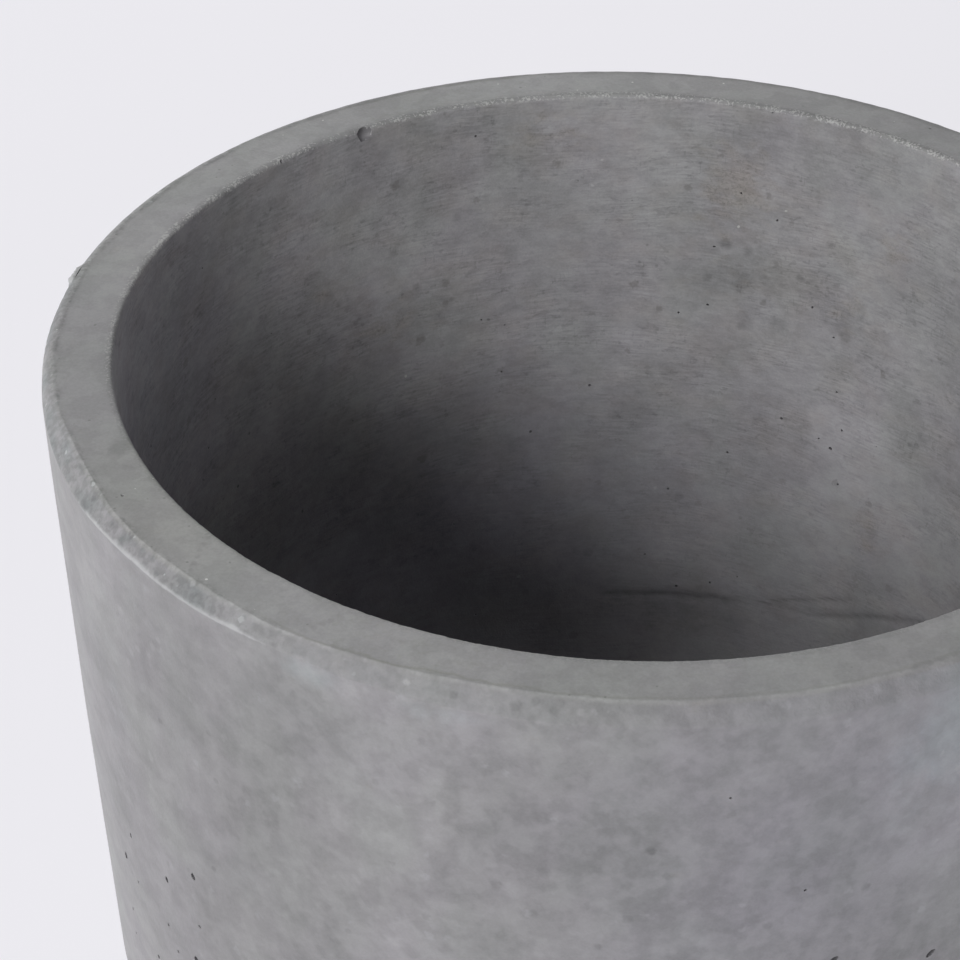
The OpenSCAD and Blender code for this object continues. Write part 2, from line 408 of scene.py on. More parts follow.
def edgeZones(place):
    # How much of the outer and inner worn edge a point of the rim has, and how much of the lip
    c, r = castShell, relief
    radius, azimuth, fromTop = whereIs(place)
    flat = Vector((place.x, place.y, 0))
    arris = inner = lip = 0.0
    if fromTop < c["outerBand"] + 1 * mm and radius > division["rimOutside"]:
        wander = r["footWander"] * layered(flat, r["footWanderSize"])
        foot = footBelow(azimuth) + 0.5 * wander
        onTop = smoothStep(-0.9 * mm, 0.9 * mm, radius - c["rimRadius"] + foot + 0.6 * mm + wander)
        arris = onTop * (1 - smoothStep(foot - 0.5 * mm, foot + 0.7 * mm, fromTop))
        along = smoothStep(r["lipFrom"], r["lipFrom"] + 9, azimuth)
        along *= 1 - smoothStep(r["lipTo"] - 9, r["lipTo"], azimuth)
        lip = along * max(0, 1 - abs(fromTop - foot) / r["lipWidth"])
    if fromTop < 3.4 * mm and radius < c["rimRadius"] - c["wall"] + 3.4 * mm:
        edge = c["rimRadius"] - c["wall"] + c["innerArris"]
        inner = 1 - smoothStep(0.5 * mm, 1.7 * mm, math.hypot(max(0, radius - edge), fromTop))
    return arris, inner, lip


def foldAt(azimuth, below):
    # How far the folds move a point of the inner wall, and how much of their darkening it holds, painted shade
    # with some dirt
    shift = dirtAndShade = 0.0
    for fold in folds:
        (a0, d0), (a1, d1) = fold["from"], fold["to"]
        t = (azimuth - a0) / (a1 - a0)
        if not -0.02 < t < 1.02:
            continue
        middle = d0 + (d1 - d0) * t + 0.9 * noise.noise(Vector((t * 5, fold["half"], 0)))
        ends = smoothStep(-0.02, 0.2, t) * (1 - smoothStep(0.75, 1.02, t))
        off = (below - middle) / fold["half"]
        crease = math.exp(-off * off) if off > 0 else math.exp(-off * off * 3)
        shift -= fold["deep"] * ends * crease
        shift += 0.45 * fold["deep"] * ends * math.exp(-(off + 1.5) ** 2)       # the ridge over it
        # darker below the crease: painted shade where the surface there turns down
        darkBelow = 0.3 * smoothStep(-0.5, 0.5, off) * math.exp(-max(0, off) * fold["half"] / 9)
        dirtAndShade = max(dirtAndShade, fold["dirtAndShade"] * ends * (math.exp(-(off / 0.45) ** 2) + darkBelow))
    return shift * mm, dirtAndShade


def relieve(vertex):
    # Moves one vertex along its normal by everything that the making left there
    r, c = relief, castShell
    place = vertex.co.copy()
    radius, azimuth, fromTop = whereIs(place)
    outwards = Vector((place.x, place.y, 0)) / radius
    arris, inner, lip = edgeZones(place)

    shift = r["wallWave"] * layered(place, r["wallWaveSize"]) * smoothStep(0, r["wallWaveFrom"], fromTop)
    if place.z < c["underside"] + 1 * mm or radius < 24 * mm:
        shift = 0.0                                   # the base stands flat, and the drain hole is gauged
    if fromTop < r["rimWaveTo"]:
        shift += r["rimWave"] * layered(place, r["rimWaveSize"]) * (0.35 + 0.65 * (1 - arris))
    shift += arris * r["arrisLump"] * (layered(place, r["arrisLumpSize"], 1) - 0.3)
    shift += inner * r["innerGrain"] * (layered(place, r["innerGrainSize"], 2) - 0.6)
    if isFolded(radius, azimuth, place.z):
        shift += foldAt(azimuth, fromTop / mm)[0]
    vertex.co = place + vertex.normal * shift

    # the arris was rubbed down further in some places than in others
    if fromTop < c["outerBand"] and radius > r["rubbedIn"][0]:
        a, foot = c["outerArris"], footBelow(azimuth)
        plain = a - math.sqrt(max(0, a * a - max(0, a - fromTop) ** 2))
        left = max(0, (foot - fromTop) / foot)
        level = r["chamfer"] * smoothStep(*r["rubbedStart"], azimuth)
        level *= 1 - smoothStep(*r["rubbedEnd"], azimuth)
        rubbed = foot * (level * left + (1 - level) * (1 - math.sqrt(max(0, 1 - left ** 2))))
        vertex.co += outwards * ((plain - rubbed) * smoothStep(*r["rubbedIn"], radius) + r["lip"] * lip)
        # and a flake of it has lifted
        lifted = 1 - smoothStep(0.3, 1, turnBetween(azimuth, r["burrAt"]) / (r["burrSpan"] / 2))
        lifted *= smoothStep(0.2 * mm, 0.7 * mm, fromTop) * (1 - smoothStep(2.4 * mm, 4.2 * mm, fromTop))
        vertex.co += outwards * r["burr"] * lifted * (1 + 0.5 * layered(place, 1.0 * mm, 2))

    side = min(-cadBox[0][0], cadBox[1][0]) - 0.02 * mm   # never outside the frame's own box
    vertex.co.x = min(side, max(-side, vertex.co.x))
    vertex.co.y = min(side, max(-side, vertex.co.y))
    vertex.co.z = min(vertex.co.z, c["height"])


def roundUp(vertex, turns):
    # A cut of a straight step lies inside the circle, so it's moved out onto it
    step = 2 * math.pi / turns
    offset = (math.atan2(vertex.co.y, vertex.co.x) % step) - step / 2
    grow = math.cos(offset) / math.cos(step / 2)
    vertex.co.x *= grow
    vertex.co.y *= grow


def addObject(name, bm):
    # Makes an object of the bmesh and puts it in the scene
    mesh = bpy.data.meshes.new(name)
    bm.to_mesh(mesh)
    bm.free()
    made = bpy.data.objects.new(name, mesh)
    bpy.context.scene.collection.objects.link(made)
    return made


def spinSection(section, turns, nearest):
    # Turns a section once round the axis and merges what lies nearer together than nearest. One whose first
    # and last points are both off the axis is closed first
    bm = bmesh.new()
    ring = [bm.verts.new((x, 0, z)) for x, z in section]
    pairs = list(zip(ring, ring[1:]))
    if section[0][0] > 0:
        pairs.append((ring[-1], ring[0]))
    edges = [bm.edges.new(pair) for pair in pairs]
    bmesh.ops.spin(bm, geom=ring + edges, cent=(0, 0, 0), axis=(0, 0, 1), dvec=(0, 0, 0),
                   angle=2 * math.pi, steps=turns, use_merge=True, use_duplicate=False)
    bmesh.ops.remove_doubles(bm, verts=bm.verts, dist=nearest)
    return bm


def ovalHole(bm, centre, outwards, along, width, tall, deep, seed):
    # One uneven oval cutter, centred a little under the surface, so that the hole is undercut
    made = bmesh.ops.create_icosphere(bm, subdivisions=2, radius=1.0)["verts"]
    up = outwards.cross(along)
    for v in made:
        push = 1 + scatteredHoles["uneven"] * noise.noise(v.co * 1.4 + Vector((seed * 3.7, seed * 1.3, 5)))
        x, y, z = v.co * push
        v.co = centre + along * (x * width / 2) + up * (y * tall / 2) + outwards * (z * deep)


def wallPoint(tree, side, azimuth, below):
    # The point and the outward normal of the wall, found by a ray across it
    a = math.radians(azimuth)
    out = Vector((math.cos(a), math.sin(a), 0))
    z = castShell["height"] - below
    if side == "inside":
        return tree.ray_cast(Vector((0, 0, z)), out)[:2]
    return tree.ray_cast(out * 0.4 + Vector((0, 0, z)), -out)[:2]


def inThePhoto(side, azimuth, below):
    # Where the photograph shows the wall, only the holes that it shows are made
    if side == "inside":
        seen = seenWalls["inside"]
        return seen["first"] < azimuth < seen["last"] and below < seen["below"]
    seen = seenWalls["outside"]
    reach = seen["below"] + seen["curve"] * (azimuth - seen["lowest"]) ** 2
    return abs(azimuth - seen["middle"]) < seen["half"] and below < reach


def planHoles():
    holes = [(side, *hole) for side, seen in seenHoles.items() for hole in seen]
    random.seed(scatteredHoles["seed"])
    for side, radius in (("outside", 172), ("inside", 150)):      # mean radius in mm
        item = scatteredHoles[side]
        placed = 0
        while placed < item["count"]:
            azimuth = random.uniform(-180, 180)
            below = random.uniform(item["nearest"], item["farthest"])
            keep = smoothStep(item["nearest"] - 1, item["common"], below) > random.random()
            small, large = item["widths"]
            width = small + (large - small) * random.random() ** 2.6
            tall = width * random.uniform(0.65, 1.5)
            tilt = random.choice((0, 90, 45, -40, 80, 100))
            if not keep or inThePhoto(side, azimuth, below):
                continue
            gap = min(math.hypot(math.radians(turnBetween(azimuth, h[1])) * radius, below - h[2])
                      - (max(width, tall) + max(h[3], h[4])) / 2 for h in holes if h[0] == side)
            if gap > scatteredHoles["spacing"]:
                holes.append((side, azimuth, below, width, tall, tilt))
                placed += 1
    return holes


def makeHoleCutters(tree):
    bm = bmesh.new()
    for i, (side, azimuth, below, width, tall, tilt) in enumerate(planHoles()):
        point, normal = wallPoint(tree, side, azimuth, below * mm)
        if point is None:
            continue
        turned = math.radians(tilt)
        level = Vector((0, 0, 1)).cross(normal).normalized()
        along = level * math.cos(turned) + normal.cross(level) * math.sin(turned)
        long, short = max(width, tall) * mm, min(width, tall) * mm
        if tilt == 0:
            long, short = width * mm, tall * mm
        deep = scatteredHoles["deep"] * min(long, short) * (1.25 if side == "inside" else 1.0)
        centre = point - normal * deep * scatteredHoles["sunk"]
        ovalHole(bm, centre, normal, along, long, short, deep, i)
    for i, item in enumerate(rimHoles):
        a = math.radians(item["at"])
        out = Vector((math.cos(a), math.sin(a), 0))
        centre = out * item["radius"] * mm + Vector((0, 0, item["z"] * mm))
        level = Vector((0, 0, 1)).cross(out)
        ovalHole(bm, centre, Vector((0, 0, 1)), level, item["along"] * mm, item["across"] * mm,
                 item["deep"] * mm / 2, 400 + i)
    bmesh.ops.recalc_face_normals(bm, faces=bm.faces)
    return addObject("hole_cutters", bm)


def cutHoles(shell, cutter):
    # Cuts every hole at once, keeps the result as the shell's mesh and drops the cutters
    modifier = shell.modifiers.new("holes", "BOOLEAN")
    modifier.operation = "DIFFERENCE"
    modifier.solver = "MANIFOLD"
    modifier.object = cutter
    cut = bpy.data.meshes.new_from_object(shell.evaluated_get(bpy.context.evaluated_depsgraph_get()))
    shell.modifiers.clear()
    plain = shell.data
    shell.data = cut
    bpy.data.meshes.remove(plain)
    used = cutter.data
    bpy.data.objects.remove(cutter)
    bpy.data.meshes.remove(used)
    cut.name = "planter_shell_cast"


def patchesAt(name, side, azimuth, below, radius):
    # How much of one kind of soft patch a point has
    total = 0.0
    for patchSide, at, depth, wide, tall, strength in patches[name]:
        if patchSide == side:
            across = math.radians(turnBetween(azimuth, at)) * radius / mm / (wide / 2)
            total += strength * math.exp(-across ** 2 - ((below - depth) / (tall / 2)) ** 2)
    return min(1, total)


def markZones(shell, tree):
    # Writes what the material needs to know: worn edges, lip, patches, and the faces inside the holes
    bm = bmesh.new()
    bm.from_mesh(shell.data)
    names = ("arris", "innerEdge", "chalkAndHighlight", "fold", *patches)
    layers = {name: bm.verts.layers.float.new(name) for name in names}
    for v in bm.verts:
        arris, inner, lip = edgeZones(v.co)
        radius, azimuth, fromTop = whereIs(v.co)
        below = fromTop / mm
        turned = turnBetween(azimuth, relief["burrAt"]) / (relief["burrSpan"] / 2)
        onFlake = radius > relief["burrRadius"] and fromTop < relief["burrDepth"]
        flake = (1 - smoothStep(0.5, 1.1, turned)) if onFlake else 0
        side = "top" if fromTop < division["flat"] else "inside" if isInside(radius, v.co.z) else "outside"
        v[layers["arris"]] = arris
        v[layers["innerEdge"]] = inner
        # the lip's share is partly a painted highlight along the ridge
        v[layers["chalkAndHighlight"]] = max(lip, flake)
        for name in patches:
            v[layers[name]] = patchesAt(name, side, azimuth, below, radius)
        if side == "inside" and isFolded(radius, azimuth, v.co.z):
            v[layers["fold"]] = foldAt(azimuth, below)[1]
    hole = bm.faces.layers.float.new("hole")
    for f in bm.faces:
        centre = f.calc_center_median()
        off = tree.find_nearest(centre)[3] > scatteredHoles["off"]
        f[hole] = off * (1.0 if centre.z < 295 * mm else 0.8)      # one in the rim is lighter inside
        f.smooth = True
    bm.to_mesh(shell.data)
    bm.free()


def makeShell():
    c = castShell
    bm = spinSection(castSection(), c["turns"], 0.002 * mm)

    # closer steps round the rim
    def inBand(vertex):
        outside = math.hypot(*vertex.co.xy) > division["rimOutside"]
        return vertex.co.z > c["height"] - c["outerBand" if outside else "innerBand"] - 0.1 * mm
    along = [e for e in bm.edges if all(inBand(v) for v in e.verts)
             and abs(e.verts[0].co.z - e.verts[1].co.z) < 1e-6
             and abs(math.hypot(*e.verts[0].co.xy) - math.hypot(*e.verts[1].co.xy)) < 1e-6]
    bmesh.ops.subdivide_edges(bm, edges=along, cuts=c["rimCuts"], use_grid_fill=True)
    for v in bm.verts:
        if inBand(v):
            roundUp(v, c["turns"])

    # closer rows where the far wall has its folds
    def inFolds(vertex):
        radius, azimuth, fromTop = whereIs(vertex.co)
        return isInside(radius, vertex.co.z) and 32 < azimuth < 90 and 173 * mm < fromTop < 224 * mm
    upright = [e for e in bm.edges if all(inFolds(v) for v in e.verts)
               and abs(math.atan2(e.verts[0].co.y, e.verts[0].co.x)
                       - math.atan2(e.verts[1].co.y, e.verts[1].co.x)) < 1e-5]
    bmesh.ops.subdivide_edges(bm, edges=upright, cuts=c["foldRows"], use_grid_fill=True)
    bmesh.ops.recalc_face_normals(bm, faces=bm.faces)
    bm.normal_update()
    for v in bm.verts:
        relieve(v)
    bm.normal_update()
    tree = BVHTree.FromBMesh(bm)
    shell = addObject("planter_shell_cast", bm)
    print("shell turned and worn:", len(shell.data.polygons), "faces")

    cutHoles(shell, makeHoleCutters(tree))
    markZones(shell, tree)
    shell.data.set_sharp_from_angle(angle=math.radians(c["sharpAngle"]))
    print("air holes cut:", sum(len(f.vertices) - 2 for f in shell.data.polygons), "triangles")
    return shell


# The stopper, turned inside the outline of its CAD node
stopper = {
    "seatFoot": 15.4 * mm,
    "stemRadius": 11.95 * mm,
    "lead": 1.5 * mm,
    "shoulder": 27 * mm,
    "flangeRadius": 17.7 * mm,
    "flangeTop": 31 * mm,
    "neckRadius": 4.5 * mm,
    "knobFoot": 38 * mm,
    "knobTop": 43 * mm,
    "knobRadius": 8 * mm,
    "seam": 0.14 * mm,       # height of the line that the two halves of its mould left
    "groove": 0.45 * mm,     # depth of the two sealing grooves round the stem
    "dish": 0.7 * mm,        # hollow in the top of the knob
    "grooveHeights": (19.4 * mm, 23.2 * mm),
    "chamfer": 0.3 * mm,
    "turns": 96,
}

# One stick-on pad, turned inside the outline of its CAD node
pad = {
    "radius": 11 * mm,
    "height": 3 * mm,
    "edge": 0.9 * mm,        # radius round the lower edge
    "groove": 0.55 * mm,     # depth of the rings that grip the ground
    "ringRadii": (3.2 * mm, 5.9 * mm, 8.4 * mm),
    "ringWidth": 0.8 * mm,
    "turns": 72,
}
sharpRubber = 38             # degrees, from which an edge of the stopper or a pad is sharp


def turnSection(name, section, turns, place=(0, 0, 0)):
    # Turns an open section that starts and ends on the axis into a closed solid
    bm = spinSection(section, turns, 0.003 * mm)
    bmesh.ops.translate(bm, verts=bm.verts, vec=place)
    bmesh.ops.recalc_face_normals(bm, faces=bm.faces)
    for f in bm.faces:
        f.smooth = True
    piece = addObject(name, bm)
    piece.data.set_sharp_from_angle(angle=math.radians(sharpRubber))
    return piece


def makeStopper():
    s = stopper
    chamfer = s["chamfer"]
    section = [(0, s["seatFoot"]), (s["stemRadius"] - s["lead"], s["seatFoot"])]
    section += [(s["stemRadius"], s["seatFoot"] + s["lead"])]
    for ringZ in s["grooveHeights"]:
        section += [(s["stemRadius"], ringZ - 0.8 * mm), (s["stemRadius"] - s["groove"], ringZ - 0.35 * mm),
                    (s["stemRadius"] - s["groove"], ringZ + 0.35 * mm), (s["stemRadius"], ringZ + 0.8 * mm)]
    section += [(s["stemRadius"], s["shoulder"]), (s["flangeRadius"] - chamfer, s["shoulder"])]
    section += [(s["flangeRadius"], s["shoulder"] + chamfer)]
    section += arc(s["flangeRadius"] - 1 * mm, s["flangeTop"] - 1 * mm, 1 * mm, 0, 90, 5)
    section += [(s["neckRadius"] + 2.4 * mm, s["flangeTop"])]
    section += [(s["neckRadius"], s["flangeTop"] + 0.1 * mm), (s["neckRadius"], s["knobFoot"] - 0.1 * mm)]
    knob = s["knobRadius"] - s["seam"]
    middle = (s["knobFoot"] + s["knobTop"]) / 2
    section += arc(knob - 2 * mm, s["knobFoot"] + 2 * mm, 2 * mm, -90, -8, 5)
    section += [(knob, middle - s["seam"]), (knob + s["seam"], middle), (knob, middle + s["seam"])]
    section += arc(knob - 2 * mm, s["knobTop"] - 2 * mm, 2 * mm, 8, 90, 5)
    section += [(5 * mm, s["knobTop"]), (4 * mm, s["knobTop"] - s["dish"] * 0.6)]
    section += [(2.4 * mm, s["knobTop"] - s["dish"]), (0, s["knobTop"] - s["dish"])]
    return turnSection("drain_stopper", section, s["turns"])


def makePad(node):
    # The pad goes where the CAD's own pad is
    low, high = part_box(node)
    centre = ((low[0] + high[0]) / 2, (low[1] + high[1]) / 2, 0)
    p = pad
    section = [(0, 0)]
    for ringR in p["ringRadii"]:
        half = p["ringWidth"] / 2
        section += [(ringR - half, 0), (ringR - half * 0.6, p["groove"])]
        section += [(ringR + half * 0.6, p["groove"]), (ringR + half, 0)]
    section += arc(p["radius"] - p["edge"], p["edge"], p["edge"], -90, 0, 5)
    section += [(p["radius"], p["height"] - 0.2 * mm), (p["radius"] - 0.2 * mm, p["height"]), (0, p["height"])]
    return turnSection(node + "_moulded", section, p["turns"], centre)


def linear(hexColour):
    # sRGB hex to the linear values that the shader takes
    parts = [int(hexColour[i:i + 2], 16) / 255 for i in (1, 3, 5)]
    return tuple(p / 12.92 if p <= 0.04045 else ((p + 0.055) / 1.055) ** 2.4 for p in parts) + (1,)


def addNode(tree, kind, inputs=(), out=0, **settings):
    # inputs: values, or the outputs that feed them, in the sockets' order or by their names or numbers.
    # Gives the output asked for, or all of them where out is None
    node = tree.nodes.new("ShaderNode" + kind)
    for name, value in settings.items():
        setattr(node, name, value)
    for key, value in inputs.items() if isinstance(inputs, dict) else enumerate(inputs):
        if isinstance(value, bpy.types.NodeSocket):
            tree.links.new(value, node.inputs[key])
        else:
            node.inputs[key].default_value = value
    return node.outputs if out is None else node.outputs[out]


def newMaterial(name):
    material = bpy.data.materials.new(name)
    material.use_nodes = True
    material.node_tree.nodes.clear()
    return material, material.node_tree


# What the concrete looks like. Every size is in millimetres on the real object.
concrete = {
    "inside": "#949395",
    "outside": "#898889",      # darker than the inside wall
    "flatTop": "#919191",      # the rim, struck off and smoothed
    "lavender": "#fefdff",     # tints: where the form oil lay thin
    "green": "#fcfefc",        # where it lay thick
    "brown": "#fffdfb",        # where the inside was damp for long
    "stain": "#fefaf3",        # and the marked damp patches
    "coolCastAndShadeBlue": "#f6f6ff",         # a bluish cast, and the blue of the painted shade inside
    "bloom": "#f3f9fa",        # lime come to the surface, and the bluish tint of a painted highlight
    "olive": "#fefffb",        # the flat where it was trowelled last
    "seamLine": "#82837c",     # the olive line between the flat and the rubbed arris
    "rubbed": "#76797a",       # opened sand and cement of the worn arrises, darkened as painted shade so that the slope facing the key light is no brighter than the flat
    "crumbAndHighlight": "#bbbbba",        # pale crumbs along the inner edge, and a painted highlight along it at the back
    "chalkAndHighlight": "#babbbc",        # powdered cement on the ridge under the arris, and a painted highlight along that ridge
    "hollow": "#5b5a5d",       # the unlit, dusty inside of an air hole
    "ior": 1.5,
    "roughness": 0.6,
    "rubbedRoughness": 0.8,
    "unevenGloss": 0.24,       # how much the roughness changes from place to place
    "spotChange": 1.3,         # how strong the seen spots are
    # cloudy fields: across and up in mm, detail. The combed ones follow the streaks of the inside. The sand
    # is 0.35 to 0.7 mm and its finest grains don't show, so the grains are drawn at 0.7 mm and more
    "fields": {
        "cloud": (85, 85, 1), "patch": (30, 34, 3), "mottle": (7.2, 7.6, 2.5), "drift": (15, 12, 2),
        "speckle": (3, 2.8, 1), "runs": (4.5, 34, 1), "grain": (0.7, 0.7, 0), "insidePatch": (16, 11, 3),
        "insideMottle": (5, 3.2, 3), "blot": (9, 6, 2), "marks": (2.6, 1.8, 2), "insideGrain": (1.2, 0.9, 1),
        "fibre": (8, 0.8, 2), "scratch": (0.8, 5, 1), "flatBlot": (8, 8, 3), "flatGrain": (1.2, 1.2, 1),
        "come": (18, 14, 2), "ragged": (2.6, 2.6, 2), "crumbs": (0.8, 0.8, 2), "crumbRuns": (7, 7, 1),
        "lumps": (2.2, 2.4, 2), "bumps": (3, 3, 1), "fineBumps": (0.9, 0.9, 1), "stainSpecks": (1.0, 0.9, 1),
        "stainEdge": (9, 5, 4), "bloomEdge": (7, 9, 3), "lavender": (34, 40, 2), "green": (24, 34, 2),
        "brown": (18, 11, 3), "leftMottle": (15, 7, 3),
    },
    "combed": ("marks", "fibre", "scratch", "stainEdge", "brown"),
    # light and dark: the two levels of a field between which the tone changes, the changes there, the side
    "patterns": {
        "cloud": (0.34, 0.66, -0.08, 0.07, "all"),
        "patch": (0.38, 0.62, -0.06, 0.05, "all"),
        "drift": (0.36, 0.64, -0.035, 0.035, "front"),
        "mottle": (0.39, 0.61, -0.07, 0.07, "front"),
        "speckle": (0.38, 0.62, -0.028, 0.03, "front"),
        "leftMottle": (0.38, 0.62, -0.055, 0.05, "left"),
        "runs": (0.37, 0.63, -0.012, 0.012, "outside"),
        "grain": (0.3, 0.7, -0.02, 0.02, "all"),
        "insidePatch": (0.4, 0.6, -0.055, 0.045, "inside"),
        "insideMottle": (0.4, 0.6, -0.05, 0.045, "inside"),
        "blot": (0.53, 0.58, 0.0, -0.05, "inside"),
        "insideGrain": (0.34, 0.66, -0.03, 0.03, "inside"),
        "marks": (0.58, 0.64, 0.0, -0.12, "combed"),
        "fibre": (0.38, 0.6, -0.07, 0.045, "combed"),
        "scratch": (0.66, 0.75, 0.0, -0.1, "combed"),
        "flatBlot": (0.42, 0.58, -0.06, 0.05, "flat"),
        "flatGrain": (0.36, 0.64, -0.026, 0.024, "flat"),
    },
    # round spots: cell, radius, soft edge, share of the cells that have one, strength, colour, side
    "spots": {
        "softSpot": (8.5, 1.3, 0.9, 0.4, 0.3, "#6d6c6e", "outside"),
        "insideSpot": (9.5, 1.7, 1.0, 0.3, 0.42, "#676462", "inside"),
        # the near-black of the pinholes and the dark of the pits is painted shade inside small holes; only the
        # pinholes are dented by the bump
        "pinhole": (9, 0.42, 0.16, 0.4, 0.85, "#2b2a2c", "inside"),
        "lightSpeck": (15, 0.6, 0.25, 0.3, 0.7, "#c9c9c6", "inside"),
        "lightSpot": (7, 1.6, 1.3, 0.4, 0.26, "#a6a6aa", "front"),
        "pit": (4.2, 0.42, 0.3, 0.5, 0.55, "#626261", "flat"),
        "arrisPit": (3.6, 0.9, 0.6, 0.8, 0.4, "#5f6565", "arris"),
        "arrisGrain": (4.6, 0.8, 0.4, 0.6, 0.5, "#b4b8b8", "arris"),
        "quartz": (4.6, 0.32, 0.12, 0.3, 0.7, "#dcdcda", "flat"),
    },
    # what changes along the object: axis, the two places in mm, the values there
    "slopes": {
        "flat": ("Z", 299.1, 299.7, 0.0, 1.0),        # the flat of the rim
        "calm": ("X", -150, -85, 0.35, 1.0),          # the left is calmer, and in broader patches
        "calmer": ("Z", 60, 220, 0.5, 1.0),           # the marks inside weaken downwards
        "fades": ("X", -90, 10, 1.0, 0.3),            # the worn arris is hardly seen on the right,
        "plainer": ("X", -125, -80, 1.0, 0.35),       # and plainer at the front
        "under": ("Z", 299.9, 298.7, 0.0, 1.0),
        # painted shade down the worn arris, against the key light on its slope
        "darker": ("Z", 299.0, 296.4, 0.0, -0.13),
        "front": ("X", -115, -70, 0.0, 0.65),         # where the seam line shows
        "above": ("Z", 297.6, 298.8, 0.0, 1.0),
        "back": ("Y", -60, 60, 0.15, 0.75),           # the crumbs and the painted highlight of the inner edge are mostly at the back
    },
    # what a field alone decides: its two levels and the values there
    "levels": {
        "come": (0.4, 0.6, 0.25, 1.3),                # where the marks of the inside come and go
        "lumps": (0.38, 0.62, -0.13, 0.08),           # light and dark of the worn arris
        "stainSpecks": (0.53, 0.62, -0.03, -0.2),
    },
    "plainLevels": {
        "drift": (0.42, 0.58, 0.2, 0.95),             # where the painted shade on the worn arris is deeper
        "crumbRuns": (0.35, 0.65, 0.86, 1.1),
        "lavender": (0.4, 0.6, 0.0, 1.0),
        "green": (0.42, 0.6, 0.0, 1.0),
        "brown": (0.46, 0.64, 0.0, 1.0),
    },
    # the relief of the surface in mm
    "relief": {"grain": 0.045, "bumps": 0.08, "combing": 0.07, "opened": 0.12, "dents": -0.35},
}


def spotPlace(side, azimuth, below):
    # Where one of the seen spots is, in metres
    c = castShell
    radius, z = below * mm, c["height"]
    if side == "arris":
        radius = c["rimRadius"] - 5 * mm + below * mm
        z -= below * mm
    elif side != "top":
        z -= below * mm
        radius = wallRadius(side, z)
    a = math.radians(azimuth)
    return radius * math.cos(a), radius * math.sin(a), z


